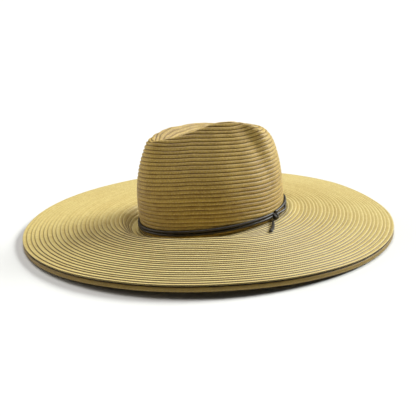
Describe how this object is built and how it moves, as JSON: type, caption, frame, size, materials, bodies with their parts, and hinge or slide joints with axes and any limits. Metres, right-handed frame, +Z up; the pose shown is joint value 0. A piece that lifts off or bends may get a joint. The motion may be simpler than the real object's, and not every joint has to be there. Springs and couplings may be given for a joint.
{
  "type": "sun hat",
  "caption": "Wide-brimmed straw sun hat with a pinched teardrop crown and a leather cord wound round it and knotted.",
  "frame": {"origin": "middle of the footprint, on the surface that the brim's edge rests on", "axes": "+Z up, the front of the hat faces -Y, and the wearer's left is +X"},
  "size_m": [0.4758, 0.5, 0.1505],
  "materials": {
    "straw": "sewn straw braid, matt with a faint sheen",
    "edge_straw": "sewn straw braid, turned down, matt",
    "leather_cord": "dark leather lace, satin"
  },
  "bodies": {
    "root": {"crown": "straw", "brim": "straw", "brim_edge": "edge_straw", "cord_lower_strand": "leather_cord", "cord_upper_strand": "leather_cord", "cord_knot": "leather_cord", "cord_tail": "leather_cord"}
  },
  "joints": []
}
